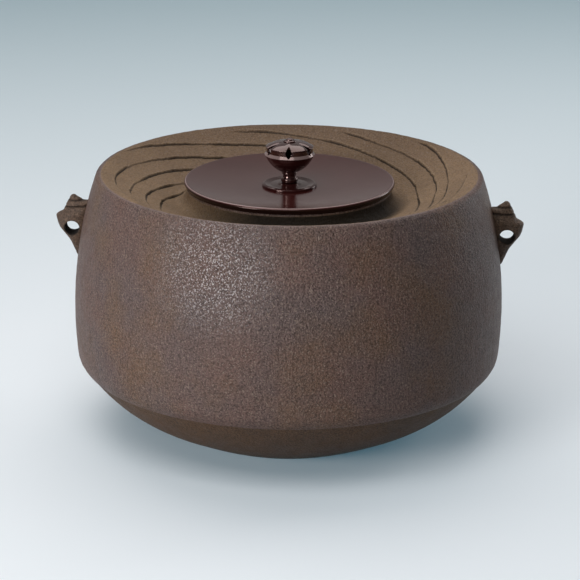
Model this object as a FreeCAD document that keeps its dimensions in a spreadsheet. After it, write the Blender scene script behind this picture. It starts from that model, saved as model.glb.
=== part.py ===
# Chagama: a cast iron tea kettle with a rippled, sunken shoulder, two shell-shaped ring lugs
# and a dished bronze lid with a hollow, slotted bud for a knob.
# Millimetres. +Z is up, the kettle stands on z = 0 at its own axis, and the lugs lie along X.

import FreeCAD, Part
import Sketcher
import math
import os
import re
from FreeCAD import Placement, Rotation, Vector

os.makedirs("parts", exist_ok=True)
doc = FreeCAD.newDocument("chagama")

# Driving dimensions

SIZES = {
    # kettle wall, from the joint up to the crest
    "body_radius": 130.0,
    "belly_height": 76.0,
    "belly_curve": 257.0,
    "corner_rise": 7.5,
    "corner_curve": 14.0,
    "wall": 4.0,
    "crest_height": 160.3,
    "crest_round": 3.5,
    # sunken shoulder and neck
    "dish_slope": 22.5,
    "neck_radius": 61.8,
    "neck_fillet": 6.0,
    "neck_rise": 8.78,
    "neck_wall": 5.3,
    "rim_round": 0.8,
    # ripples on the shoulder
    "ripple_rise": 1.5,
    "ripple_end_rise": 0.3,
    "ripple_run": 13.0,
    "ripple_sink": 0.6,
    "ripple_sink_step": 0.12,
    "ripple_margin": 4.15,
    # bottom casting and the joint round it
    "joint_height": 43.0,
    "joint_inset": 4.8,
    "joint_step": 0.7,
    "bottom_turn_radius": 86.0,
    "bottom_turn_height": 10.6,
    "bottom_curve": 95.0,
    "flank_curve": 300.0,
    "foot_radius": 63.5,
    "collar_gap": 0.8,
    "collar_wall": 3.4,
    "collar_lip": 1.0,
    # ring lugs
    "hole_height": 124.0,
    "hole_radius": 4.4,
    "hole_web": 1.6,
    "lug_drop": 19.0,
    "lug_height": 39.7,
    "lug_reach": 10.9,
    "lug_depth": 7.3,
    "lug_fit": 0.03,
    "tenon_radius": 4.0,
    "tenon_depth": 2.4,
    "tenon_web": 0.3,
    # lid
    "lid_overhang": 1.6,
    "lid_edge": 3.9,
    "lid_round": 0.8,
    "lid_dip": 3.7,
    "lid_curve": 290.0,
    "lid_plate_thickness": 2.5,
    "lid_play": 0.6,
    "spigot_drop": 5.0,
    "spigot_wall": 2.4,
    # knob, its seat, pin and washer
    "seat_radius": 16.5,
    "seat_edge": 0.6,
    "seat_rise": 2.0,
    "seat_crown_radius": 6.4,
    "seat_curve": 40.0,
    "pin_radius": 2.5,
    "pin_clearance": 0.05,
    "pin_end_play": 0.1,
    "foot_bead_radius": 5.0,
    "foot_bead_height": 2.2,
    "waist_radius": 4.2,
    "waist_height": 4.4,
    "bowl_radius": 15.2,
    "bowl_height": 12.4,
    "bowl_curve": 18.0,
    "brow_inset": 1.0,
    "brow_height": 3.4,
    "brow_curve": 5.0,
    "dome_height": 2.8,
    "dome_curve": 22.0,
    "knob_wall": 1.5,
    "slot_width": 3.5,
    "slot_length": 6.2,
    "slot_rise": 1.8,
    "slot_start": 8.5,
    "slot_count": 6,
    "button_radius": 3.9,
    "button_height": 2.0,
    "washer_radius": 6.5,
    "washer_thickness": 1.2,
    "peen_radius": 4.2,
    "peen_height": 1.5,
    # singing plates lacquered to the floor of the kettle
    "plate_count": 4,
    "plate_length": 26.0,
    "plate_width": 11.0,
    "plate_thickness": 1.6,
    "plate_ring_radius": 30.0,
    "plate_corner": 2.0,
    "dab_radius": 4.0,
    "dab_thickness": 0.8,
    "dab_spacing": 12.0,
}

# Sizes that follow from the driving ones. Angles are in degrees.

DERIVED = {
    "joint_radius": "body_radius - joint_inset",
    "corner_height": "joint_height + corner_rise",
    "mouth_radius": "neck_radius - neck_wall",
    "crest_centre_height": "crest_height - crest_round",
    "crest_lean": "asin((crest_centre_height - belly_height) / (belly_curve - crest_round))",
    "crest_centre_radius": "body_radius - belly_curve + (belly_curve - crest_round) * cos(crest_lean)",
    "crest_out_radius": "crest_centre_radius + crest_round * cos(crest_lean)",
    "crest_out_height": "crest_centre_height + crest_round * sin(crest_lean)",
    "crest_in_radius": "crest_centre_radius - crest_round * sin(dish_slope)",
    "crest_in_height": "crest_centre_height + crest_round * cos(dish_slope)",
    "neck_foot_radius": "neck_radius + neck_fillet * (1 + sin(dish_slope))",
    "neck_foot_height": "crest_in_height - (crest_in_radius - neck_foot_radius) * tan(dish_slope)",
    "neck_turn_height": "neck_foot_height + neck_fillet * cos(dish_slope)",
    "ripple_inner_radius": "neck_radius + ripple_margin",
    "ripple_inner_height": "crest_in_height - (crest_in_radius - ripple_inner_radius) * tan(dish_slope)",
    "rim_height": "neck_foot_height + neck_rise",
    "neck_root_height": "crest_in_height - (crest_in_radius - mouth_radius) * tan(dish_slope)"
                        " - wall / cos(dish_slope)",
    "corner_radius": "body_radius - belly_curve"
                     " + sqrt(belly_curve * belly_curve - pow(corner_height - belly_height; 2))",
    "corner_inner_radius": "corner_radius - wall",
    "joint_inner_radius": "joint_radius - wall",
    "collar_outer_radius": "joint_inner_radius - collar_gap",
    "collar_inner_radius": "collar_outer_radius - collar_wall",
    "collar_top_height": "corner_height + collar_lip",
    "wall_radius_at_hole": "body_radius - belly_curve"
                           " + sqrt(belly_curve * belly_curve - pow(hole_height - belly_height; 2))",
    "hole_distance": "wall_radius_at_hole + hole_web + hole_radius",
    "bed_curve": "belly_curve + lug_fit",
    "bed_low_radius": "body_radius - belly_curve"
                      " + sqrt(bed_curve * bed_curve - pow(corner_height - belly_height; 2))",
    "bed_top_radius": "body_radius - belly_curve"
                      " + sqrt(bed_curve * bed_curve - pow(crest_out_height - belly_height; 2))",
    "tenon_height": "hole_height + hole_radius + tenon_web + tenon_radius",
    "tenon_start": "body_radius - belly_curve - tenon_depth"
                   " + sqrt(belly_curve * belly_curve - pow(tenon_height - belly_height; 2))",
    "tenon_length": "hole_distance - tenon_start",
    "socket_radius": "tenon_radius + lug_fit",
    "socket_start": "tenon_start - lug_fit",
    "socket_length": "hole_distance - socket_start",
    "lid_radius": "neck_radius + lid_overhang",
    "lid_top_height": "rim_height + lid_edge",
    "lid_low_height": "lid_top_height - lid_dip",
    "lid_under_height": "lid_low_height - lid_plate_thickness",
    "spigot_radius": "mouth_radius - lid_play",
    "spigot_inner_radius": "spigot_radius - spigot_wall",
    "bore_radius": "pin_radius + pin_clearance",
    "seat_top_height": "lid_low_height + seat_rise",
    "brow_radius": "bowl_radius - brow_inset",
    "slot_top_height": "brow_top_height + slot_rise",
    "slot_curve": "(slot_length * slot_length + slot_width * slot_width) / (4 * slot_width)",
    "knob_foot_height": "seat_top_height + pin_end_play",
    "bead_top_height": "knob_foot_height + foot_bead_height",
    "waist_top_height": "bead_top_height + waist_height",
    "bowl_top_height": "waist_top_height + bowl_height",
    "brow_top_height": "bowl_top_height + brow_height",
    "knob_top_height": "brow_top_height + dome_height",
    "washer_low_height": "lid_under_height - washer_thickness",
    "peen_top_height": "washer_low_height - pin_end_play",
    "plate_low_height": "wall + dab_thickness",
}

sheet = doc.addObject("Spreadsheet::Sheet", "sizes")
for row, (alias, content) in enumerate({**SIZES, **DERIVED}.items(), start=1):
    sheet.set(f"A{row}", alias)
    sheet.set(f"B{row}", f"={content}" if alias in DERIVED else str(content))
    sheet.setAlias(f"B{row}", alias)
doc.recompute()

WORDS = re.compile(r"\b[a-z_]+\b")


def bound(text):
    """The expression with each size named as a cell of the sheet."""
    return WORDS.sub(lambda word: f"sizes.{word[0]}" if word[0] in SIZES or word[0] in DERIVED else word[0], text)


def value(text):
    """The expression's number, in millimetres or degrees."""
    found = sheet.evalExpression(bound(text))
    return float(getattr(found, "Value", found))


# Ways to make a piece


def arc_between(start, end, radius, left):
    """The short arc from start to end. Left tells on which side of the way its centre lies."""
    chord = end - start
    middle = (start + end) / 2
    offset = math.sqrt(max(radius ** 2 - (chord.Length / 2) ** 2, 0.0))
    side = Vector(-chord.y, chord.x, 0).normalize() * (offset if left else -offset)
    centre = middle + side
    first, last = (start, end) if left else (end, start)
    angles = [math.atan2(point.y - centre.y, point.x - centre.x) for point in (first, last)]
    return Part.ArcOfCircle(Part.Circle(centre, Vector(0, 0, 1), radius), *angles)


def outline(body, name, corners, plane="XZ_Plane"):
    """A closed sketch. A corner is (x, y), or (x, y, turn, radius) where an arc leads on from it."""
    sketch = body.newObject("Sketcher::SketchObject", name)
    origin = [part for part in body.Origin.OriginFeatures if part.Role == plane]
    sketch.AttachmentSupport = [(origin[0], "")]
    sketch.MapMode = "FlatFace"
    points = [Vector(value(corner[0]), value(corner[1]), 0) for corner in corners]
    ends = []
    for index, corner in enumerate(corners):
        start = points[index]
        end = points[(index + 1) % len(points)]
        if len(corner) == 2:
            sketch.addGeometry(Part.LineSegment(start, end), False)
            ends.append((1, 2))
            continue
        turns_left = corner[2] == "left"
        sketch.addGeometry(arc_between(start, end, value(corner[3]), turns_left), False)
        ends.append((1, 2) if turns_left else (2, 1))
    for index, (first, last) in enumerate(ends):
        following = (index + 1) % len(ends)
        sketch.addConstraint(Sketcher.Constraint("Coincident", index, last, following, ends[following][0]))
    for index, corner in enumerate(corners):
        for kind, axis, text, number in (("DistanceX", -2, corner[0], points[index].x),
                                         ("DistanceY", -1, corner[1], points[index].y)):
            if text == "0":
                sketch.addConstraint(Sketcher.Constraint("PointOnObject", index, ends[index][0], axis))
                continue
            tie(sketch, Sketcher.Constraint(kind, -1, 1, index, ends[index][0], number), text)
        if len(corner) == 4:
            tie(sketch, Sketcher.Constraint("Radius", index, value(corner[3])), corner[3])
    return sketch


def tie(sketch, constraint, text):
    """Add a constraint whose length follows the sheet."""
    number = sketch.addConstraint(constraint)
    name = f"size_{number}"
    sketch.renameConstraint(number, name)
    sketch.setExpression(f"Constraints.{name}", bound(text))


def turned(name, corners):
    """A body of revolution about the kettle's axis."""
    body = doc.addObject("PartDesign::Body", name)
    sketch = outline(body, f"{name}_outline", corners)
    turn = body.newObject("PartDesign::Revolution", f"{name}_turn")
    turn.Profile = sketch
    turn.ReferenceAxis = (sketch, ["V_Axis"])
    turn.Angle = 360
    sketch.Visibility = False
    body.Tip = turn
    return body


def primitive(kind, name, expressions):
    """A Part primitive or boolean whose properties follow the sheet."""
    item = doc.addObject(kind, name)
    for prop, text in expressions.items():
        item.setExpression(prop, bound(text))
    return item


# Kettle wall: outside from the joint up over the crest, down the dish and up the neck

OUTSIDE = [
    ("joint_radius", "joint_height", "left", "corner_curve"),
    ("corner_radius", "corner_height", "left", "belly_curve"),
    ("crest_out_radius", "crest_out_height", "left", "crest_round"),
    ("crest_in_radius", "crest_in_height"),
]
NECK = [
    ("neck_foot_radius", "neck_foot_height", "right", "neck_fillet"),
    ("neck_radius", "neck_turn_height"),
    ("neck_radius", "rim_height - rim_round", "left", "rim_round"),
    ("neck_radius - rim_round", "rim_height"),
    ("mouth_radius + rim_round", "rim_height", "left", "rim_round"),
    ("mouth_radius", "rim_height - rim_round"),
]
INSIDE = [
    ("mouth_radius", "neck_root_height"),
    ("crest_centre_radius", "crest_centre_height", "right", "belly_curve - wall"),
    ("corner_inner_radius", "corner_height", "right", "corner_curve - wall"),
    ("joint_inner_radius", "joint_height"),
]


def make_ripples():
    """Steps pressed into the dish: each rises at its line and runs out towards the crest.

    A line is a list of points (azimuth from +X, place across the dish from the neck to the crest).
    Each is rooted a little deeper than the last, so that no two share a face inside the wall.
    """
    lines = {
        "back_left_outer": [(161, 1.00), (153, 0.96), (142, 0.88), (124, 0.71), (102, 0.57), (84, 0.53)],
        "back_left_inner": [(95, 0.12), (124, 0.39), (150, 0.63), (173, 0.80), (187, 0.85), (210, 0.98)],
        "left_outer": [(118, 0.06), (143, 0.30), (155, 0.40), (171, 0.50), (187, 0.61), (204, 0.75), (221, 0.98)],
        "left_middle": [(146, 0.04), (157, 0.13), (174, 0.28), (193, 0.44), (205, 0.56), (216, 0.71), (228, 0.93)],
        "left_inner": [(166, 0.00), (184, 0.14), (194, 0.23), (206, 0.36), (225, 0.74), (234, 0.92)],
        "back": [(115, 0.91), (102, 0.86), (89, 0.79), (66, 0.59), (46, 0.43), (12, 0.27),
                 (-10, 0.26), (-23, 0.34), (-36, 0.52), (-48, 0.80)],
        "right_inner": [(73, 0.94), (61, 0.84), (46, 0.72), (26, 0.59), (5, 0.49), (-17, 0.48), (-38, 0.78)],
        "right_middle": [(46, 0.97), (36, 0.89), (20, 0.75), (0, 0.64), (-11, 0.63), (-24, 0.71), (-35, 0.88)],
        "right_outer": [(6, 0.90), (-1, 0.84), (-17, 0.82), (-25, 0.84), (-32, 0.91)],
    }
    inner = value("ripple_inner_radius")
    outer = value("crest_in_radius")
    slope = math.tan(math.radians(value("dish_slope")))
    ripples = []
    for name, points in lines.items():
        sink = value("ripple_sink") + value("ripple_sink_step") * len(ripples)
        floor = value("ripple_inner_height") - sink
        sections = []
        for index, (azimuth, place) in enumerate(points):
            at_end = index in (0, len(points) - 1)
            rise = value("ripple_end_rise" if at_end else "ripple_rise")
            start = inner + place * (outer - inner)
            end = min(start + value("ripple_run"), outer + value("crest_round") / 2)
            base = floor + (start - inner) * slope
            corners = [
                Vector(start, 0, base),
                Vector(end, 0, floor + (min(end, outer) - inner) * slope),
                Vector(start, 0, base + sink + rise),
            ]
            section = Part.makePolygon(corners + corners[:1])
            section.rotate(Vector(0, 0, 0), Vector(0, 0, 1), azimuth)
            sections.append(section)
        ripple = doc.addObject("Part::Feature", f"ripple_{name}")
        ripple.Shape = Part.makeLoft(sections, True, False)
        ripples.append(ripple)
    return ripples


def make_rod(name, part_name, side):
    """A rod across the wall: a lug's tenon, or the socket that takes it."""
    rod = primitive("Part::Cylinder", name, {"Radius": f"{part_name}_radius", "Height": f"{part_name}_length"})
    base = Vector(side * value(f"{part_name}_start"), 0, value("tenon_height"))
    rod.Placement = Placement(base, Rotation(Vector(0, 0, 1), Vector(side, 0, 0)))
    return rod


def make_body_shell():
    casting = turned("casting", OUTSIDE + NECK + INSIDE)
    rippled = doc.addObject("Part::MultiFuse", "rippled_casting")
    rippled.Shapes = [casting] + make_ripples()
    sockets = doc.addObject("Part::MultiFuse", "tenon_sockets")
    sockets.Shapes = [make_rod("socket_right", "socket", 1), make_rod("socket_left", "socket", -1)]
    shell = doc.addObject("Part::Cut", "body_shell")
    shell.Base = rippled
    shell.Tool = sockets
    return shell


def make_bottom_shell():
    """The round bottom, with a collar that stands inside the wall."""
    return turned("bottom_shell", [
        ("0", "0"),
        ("foot_radius", "0", "left", "flank_curve"),
        ("bottom_turn_radius", "bottom_turn_height", "left", "bottom_curve"),
        ("joint_radius - joint_step", "joint_height"),
        ("collar_outer_radius", "joint_height"),
        ("collar_outer_radius", "collar_top_height"),
        ("collar_inner_radius", "collar_top_height"),
        ("collar_inner_radius", "joint_height - collar_wall", "right", "bottom_curve - wall"),
        ("bottom_turn_radius - wall / 2", "bottom_turn_height + wall"),
        ("foot_radius - wall / 2", "wall"),
        ("0", "wall"),
    ])


def make_seam_lacquer():
    """Lacquer packed between the collar and the wall."""
    return turned("seam_lacquer", [
        ("collar_outer_radius", "joint_height"),
        ("joint_inner_radius", "joint_height", "left", "corner_curve - wall"),
        ("corner_inner_radius", "corner_height"),
        ("collar_outer_radius", "corner_height"),
    ])


# Ring lugs


def make_lugs():
    """Whorled shells set on the wall, each with a hole across it for a lifting ring."""
    sections = [
        # height up the lug, inner edge, outer edge and half depth, as shares of its own sizes
        (0.000, -0.50, -0.24, 0.15),
        (0.060, -0.55, -0.08, 0.30),
        (0.150, -0.60, 0.00, 0.42),
        (0.250, -0.69, 0.10, 0.58),
        (0.310, -0.78, 0.32, 0.70),
        (0.400, -0.87, 0.65, 0.82),
        (0.470, -0.90, 0.84, 0.86),
        (0.570, -0.96, 0.88, 0.93),
        (0.660, -1.05, 0.96, 1.00),
        (0.700, -1.05, 0.89, 0.96),
        (0.780, -1.15, 0.50, 0.72),
        (0.800, -1.15, 0.54, 0.77),
        (0.870, -1.15, 0.37, 0.60),
        (0.885, -0.43, 0.29, 0.45),
        (0.900, -0.47, 0.34, 0.50),
        (0.960, -0.20, 0.29, 0.34),
        (1.000, -0.05, 0.23, 0.16),
    ]
    rings = []
    for index, (height, inner, outer, depth) in enumerate(sections):
        ring = primitive("Part::Ellipse", f"lug_ring_{index}", {
            "MajorRadius": f"lug_reach * {(outer - inner) / 2}",
            "MinorRadius": f"lug_depth * {depth}",
            "Placement.Base.x": f"hole_distance + lug_reach * {(outer + inner) / 2}",
            "Placement.Base.z": f"hole_height - lug_drop + lug_height * {height}",
        })
        rings.append(ring)
    doc.recompute()
    form = doc.addObject("Part::Loft", "lug_form")
    form.Sections = rings
    form.Solid = True
    form.Ruled = True
    hole = primitive("Part::Cylinder", "lug_hole", {"Radius": "hole_radius", "Height": "lug_depth * 4"})
    centre = Vector(value("hole_distance"), -value("lug_depth") * 2, value("hole_height"))
    hole.Placement = Placement(centre, Rotation(Vector(0, 0, 1), Vector(0, 1, 0)))
    pierced = doc.addObject("Part::Cut", "lug_pierced")
    pierced.Base = form
    pierced.Tool = hole
    bed = turned("lug_bed", [
        ("0", "corner_height"),
        ("bed_low_radius", "corner_height", "left", "bed_curve"),
        ("bed_top_radius", "crest_out_height"),
        ("0", "crest_out_height"),
    ])
    fitted = doc.addObject("Part::Cut", "lug_fitted")
    fitted.Base = pierced
    fitted.Tool = bed
    right = doc.addObject("Part::Fuse", "lug_right")
    right.Base = fitted
    right.Tool = make_rod("tenon", "tenon", 1)
    left = doc.addObject("Part::Mirroring", "lug_left")
    left.Source = right
    left.Normal = Vector(1, 0, 0)
    return [right, left]


# Lid


def make_lid_plate():
    """A dished plate with a thicker edge and a ring below that drops into the mouth."""
    return turned("lid_plate", [
        ("bore_radius", "lid_under_height"),
        ("seat_radius", "lid_under_height", "left", "lid_curve"),
        ("spigot_inner_radius", "rim_height"),
        ("spigot_inner_radius", "rim_height - spigot_drop"),
        ("spigot_radius - lid_round", "rim_height - spigot_drop", "left", "lid_round"),
        ("spigot_radius", "rim_height - spigot_drop + lid_round"),
        ("spigot_radius", "rim_height"),
        ("lid_radius - lid_round", "rim_height", "left", "lid_round"),
        ("lid_radius", "rim_height + lid_round"),
        ("lid_radius", "lid_top_height - lid_round", "left", "lid_round"),
        ("lid_radius - lid_round", "lid_top_height", "right", "lid_curve"),
        ("seat_radius", "lid_low_height"),
        ("bore_radius", "lid_low_height"),
    ])


def make_knob_seat():
    """A low bronze boss under the knob."""
    return turned("knob_seat", [
        ("bore_radius", "lid_low_height"),
        ("seat_radius", "lid_low_height"),
        ("seat_radius", "lid_low_height + seat_edge", "right", "seat_curve"),
        ("seat_crown_radius", "seat_top_height"),
        ("bore_radius", "seat_top_height"),
    ])


def make_knob():
    """A hollow bud on a waisted stem, with slots round its brow."""
    body = turned("knob", [
        ("bore_radius", "knob_foot_height"),
        ("waist_radius", "knob_foot_height"),
        ("foot_bead_radius", "knob_foot_height + foot_bead_height / 2"),
        ("waist_radius", "bead_top_height"),
        ("waist_radius + knob_wall / 3", "waist_top_height", "left", "bowl_curve"),
        ("bowl_radius", "bowl_top_height", "left", "brow_curve"),
        ("brow_radius", "brow_top_height", "left", "dome_curve"),
        ("button_radius", "knob_top_height"),
        ("bore_radius", "knob_top_height"),
        ("bore_radius", "knob_top_height - knob_wall", "right", "dome_curve - knob_wall"),
        ("brow_radius - knob_wall", "brow_top_height - knob_wall / 2"),
        ("bowl_radius - knob_wall", "bowl_top_height", "right", "bowl_curve - knob_wall"),
        ("bore_radius", "waist_top_height + knob_wall"),
    ])
    slot = outline(body, "knob_slot_outline", [
        ("0", "slot_top_height - slot_length", "left", "slot_curve"),
        ("0", "slot_top_height", "left", "slot_curve"),
    ])
    slot.setExpression("AttachmentOffset.Base.z", bound("0 - slot_start"))
    doc.recompute()
    whole = body.Shape.Volume
    pocket = body.newObject("PartDesign::Pocket", "knob_slot")
    pocket.Profile = slot
    pocket.Type = "ThroughAll"
    pocket.Reversed = False
    body.Tip = pocket
    doc.recompute()
    if body.Shape.Volume > whole - 1:
        raise RuntimeError("the slot cuts nothing")
    pattern = body.newObject("PartDesign::PolarPattern", "knob_slots")
    pattern.Originals = [pocket]
    pattern.Axis = (body.Origin.OriginFeatures[2], [""])
    pattern.Angle = 360
    pattern.setExpression("Occurrences", bound("slot_count"))
    body.Tip = pattern
    return body


def make_knob_pin():
    """The pin through knob, seat and lid: a button on top, its tail spread under the washer."""
    return turned("knob_pin", [
        ("0", "peen_top_height - peen_height"),
        ("peen_radius - peen_height / 2", "peen_top_height - peen_height", "left", "peen_height"),
        ("peen_radius", "peen_top_height"),
        ("pin_radius", "peen_top_height"),
        ("pin_radius", "knob_top_height"),
        ("button_radius", "knob_top_height"),
        ("button_radius", "knob_top_height + button_height / 2"),
        ("button_radius - button_height / 2", "knob_top_height + button_height"),
        ("0", "knob_top_height + button_height"),
    ])


def make_back_washer():
    return turned("back_washer", [
        ("bore_radius", "washer_low_height"),
        ("washer_radius", "washer_low_height"),
        ("washer_radius", "lid_under_height"),
        ("bore_radius", "lid_under_height"),
    ])


# Singing plates: thin iron strips that ring when the water boils


def make_singing_plates():
    plates = []
    dabs = []
    for index in range(int(value("plate_count"))):
        turn = Rotation(Vector(0, 0, 1), 360 * index / value("plate_count"))
        blank = primitive("Part::Box", f"plate_blank_{index + 1}", {
            "Length": "plate_width", "Width": "plate_length", "Height": "plate_thickness"})
        low = Vector(value("plate_ring_radius - plate_width / 2"), -value("plate_length") / 2,
                     value("plate_low_height"))
        blank.Placement = Placement(turn.multVec(low), turn)
        doc.recompute()
        plate = doc.addObject("Part::Fillet", f"singing_plate_{index + 1}")
        plate.Base = blank
        corner = value("plate_corner")
        upright = [number for number, edge in enumerate(blank.Shape.Edges, start=1)
                   if abs(edge.tangentAt(edge.FirstParameter).z) > 0.99]
        plate.Edges = [(number, corner, corner) for number in upright]
        plates.append(plate)
        for end in (-1, 1):
            dab = primitive("Part::Cylinder", f"dab_{index + 1}_{end + 1}", {
                "Radius": "dab_radius", "Height": "dab_thickness"})
            spot = Vector(value("plate_ring_radius"), end * value("dab_spacing") / 2, value("wall"))
            dab.Placement = Placement(turn.multVec(spot), turn)
            dabs.append(dab)
    lacquer = doc.addObject("Part::Compound", "plate_lacquer")
    lacquer.Links = dabs
    return plates + [lacquer]


pieces = [make_body_shell(), make_bottom_shell(), make_seam_lacquer()]
pieces += make_lugs()
pieces += [make_lid_plate(), make_knob_seat(), make_knob(), make_knob_pin(), make_back_washer()]
pieces += make_singing_plates()
doc.recompute()

for item in doc.Objects:
    if {"Invalid", "Error"} & set(item.State):
        raise RuntimeError(f"{item.Label} failed: {item.State}")
for piece in pieces:
    if piece.Shape.isNull() or not piece.Shape.isValid():
        raise RuntimeError(f"{piece.Label} has no valid shape")
for piece in pieces:
    piece.Shape.exportStep(f"parts/{piece.Label}.step")
    size = piece.Shape.BoundBox
    print(f"{piece.Label}: {len(piece.Shape.Solids)} solid, {piece.Shape.Volume / 1000:.1f} cm3,"
          f" x {size.XMin:.1f} {size.XMax:.1f}, y {size.YMin:.1f} {size.YMax:.1f},"
          f" z {size.ZMin:.2f} {size.ZMax:.2f}")
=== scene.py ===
import math

import bpy
import numpy as np
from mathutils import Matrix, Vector


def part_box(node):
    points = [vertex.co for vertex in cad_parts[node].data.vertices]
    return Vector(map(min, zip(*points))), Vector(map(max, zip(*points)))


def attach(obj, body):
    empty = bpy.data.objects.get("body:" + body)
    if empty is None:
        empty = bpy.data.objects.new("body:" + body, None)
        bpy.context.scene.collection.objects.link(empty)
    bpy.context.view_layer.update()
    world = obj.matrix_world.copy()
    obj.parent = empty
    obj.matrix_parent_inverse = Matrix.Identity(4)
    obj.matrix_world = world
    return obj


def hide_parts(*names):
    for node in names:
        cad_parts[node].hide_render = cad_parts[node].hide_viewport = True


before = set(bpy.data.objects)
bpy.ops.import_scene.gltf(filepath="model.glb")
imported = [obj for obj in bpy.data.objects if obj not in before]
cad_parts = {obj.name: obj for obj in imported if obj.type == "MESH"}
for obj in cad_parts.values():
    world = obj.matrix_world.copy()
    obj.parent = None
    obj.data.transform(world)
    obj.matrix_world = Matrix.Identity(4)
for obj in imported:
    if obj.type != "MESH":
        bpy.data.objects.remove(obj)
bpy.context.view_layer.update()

MM = 0.001
TURN = 2 * math.pi


def linked(name, data):
    """An object that holds the data, placed in the scene."""
    made = bpy.data.objects.new(name, data)
    bpy.context.scene.collection.objects.link(made)
    return made


# The photograph's camera, found from the outline of the kettle

CAMERA_ELEVATION = math.radians(18.48)
CAMERA_AZIMUTH = math.radians(2.7)
CAMERA_ROLL = math.radians(0.43)
CAMERA_DISTANCE = 1.5
CAMERA_LENS = 152.2
CAMERA_SENSOR = 36
CAMERA_FAR = 50
CAMERA_SHIFT = (0.0025, 0.0141)
CAMERA_TARGET = Vector((0, 0, 0.08))


def make_camera():
    camera = linked("camera", bpy.data.cameras.new("camera"))
    across = CAMERA_DISTANCE * math.cos(CAMERA_ELEVATION)
    away = Vector((across * math.sin(CAMERA_AZIMUTH), -across * math.cos(CAMERA_AZIMUTH),
                   CAMERA_DISTANCE * math.sin(CAMERA_ELEVATION)))
    camera.location = CAMERA_TARGET + away
    look = (-away).to_track_quat("-Z", "Y")
    camera.rotation_euler = look.to_euler()
    camera.rotation_euler.rotate_axis("Z", CAMERA_ROLL)
    camera.data.lens = CAMERA_LENS
    camera.data.sensor_width = CAMERA_SENSOR
    camera.data.shift_x, camera.data.shift_y = CAMERA_SHIFT
    camera.data.clip_end = CAMERA_FAR
    bpy.context.scene.camera = camera


make_camera()

# Sizes read from the frame, in metres


def top_of(node):
    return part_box(node)[1].z


def foot_of(node):
    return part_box(node)[0].z


def reach_of(node):
    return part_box(node)[1].x


JOINT_HEIGHT = 43 * MM
LID_RADIUS = reach_of("lid_plate")
LID_LOW = foot_of("knob_seat")
SEAT_RADIUS = reach_of("knob_seat")
SEAT_TOP = top_of("knob_seat")
KNOB_FOOT = foot_of("knob")
BUTTON_TOP = top_of("knob_pin")
LUG_TOP = top_of("lug_right")
LUG_FOOT = foot_of("lug_right")

# Sizes of the kettle's section, as in the part

BODY_RADIUS = 130 * MM
BELLY_HEIGHT = 76 * MM
BELLY_CURVE = 257 * MM
CORNER_HEIGHT = 50.5 * MM
CORNER_CURVE = 14 * MM
WALL = 4 * MM
CREST_ROUND = 3.5 * MM
DISH_SLOPE = math.radians(22.5)
NECK_RADIUS = 61.8 * MM
NECK_FILLET = 6 * MM
NECK_RISE = 8.78 * MM
RIM_ROUND = 0.8 * MM
MOUTH_RADIUS = 56.5 * MM
JOINT_RADIUS = 125.2 * MM
JOINT_STEP = 0.7 * MM
FOOT_RADIUS = 63.5 * MM
FLANK_CURVE = 300 * MM
BOTTOM_TURN = (86 * MM, 10.6 * MM)
BOTTOM_CURVE = 95 * MM
COLLAR_OUTER = JOINT_RADIUS - WALL - 0.8 * MM
COLLAR_WALL = 3.4 * MM
COLLAR_TOP = CORNER_HEIGHT + 1 * MM

# Noise, the same each run


def lattice(cells, seed):
    """A number from 0 to 1 for each whole-numbered cell."""
    mixed = cells[..., 0] * 73856093 ^ cells[..., 1] * 19349663 ^ cells[..., 2] * 83492791 ^ seed * 2654435761
    mixed = (mixed ^ (mixed >> 13)) * 1274126177 & 0x7FFFFFFF
    mixed = (mixed ^ (mixed >> 16)) * 1103515245 & 0x7FFFFFFF
    return (mixed ^ (mixed >> 11)) % 65521 / 65521


def noise(points, size, seed):
    """Smooth noise from -1 to 1 whose lumps are about as wide as size."""
    scaled = points / np.asarray(size)
    low = np.floor(scaled).astype(np.int64)
    part = scaled - low
    part = part * part * (3 - 2 * part)
    total = 0
    for corner in np.ndindex(2, 2, 2):
        weight = np.prod(np.where(corner, part, 1 - part), axis=-1)
        total = total + weight * lattice(low + np.array(corner), seed)
    return total * 2 - 1


# Meshes


def mesh_object(name, points, quads, triangles=()):
    """A smooth object from an array of points, four-cornered faces and three-cornered faces."""
    mesh = bpy.data.meshes.new(name)
    mesh.from_pydata(np.asarray(points).reshape(-1, 3).tolist(), [],
                     np.asarray(quads).reshape(-1, 4).tolist() + [list(corners) for corners in triangles])
    mesh.shade_smooth()
    return linked(name, mesh)


def label_points(mesh, **labels):
    """Store an amount for each point of the mesh under each label, for the materials to read."""
    for label, amount in labels.items():
        attribute = mesh.attributes.new(label, "FLOAT", "POINT")
        attribute.data.foreach_set("value", amount.astype(np.float32).ravel())


def ring_faces(rings, segments, closed):
    """Faces between rings of points. Closed joins the last ring to the first."""
    ring = np.arange(rings if closed else rings - 1)[:, None]
    step = np.arange(segments)[None, :]
    following = (step + 1) % segments
    above = (ring + 1) % rings
    corners = (ring * segments + step, ring * segments + following,
               above * segments + following, above * segments + step)
    return np.stack(np.broadcast_arrays(*corners), axis=-1).reshape(-1, 4)


def spun(section, segments):
    """Points of a section (radius, height) turned about the axis: rings by segments by three."""
    angles = np.arange(segments) * TURN / segments
    radius = section[:, 0][:, None]
    height = np.broadcast_to(section[:, 1][:, None], (len(section), segments))
    return np.stack((radius * np.cos(angles), radius * np.sin(angles), height), axis=-1)


def cap_faces(first, segments, pole, up):
    """Triangles from a ring of points to a single point."""
    corners = [(first + step, first + (step + 1) % segments, pole) for step in range(segments)]
    return corners if up else [corner[::-1] for corner in corners]


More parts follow.
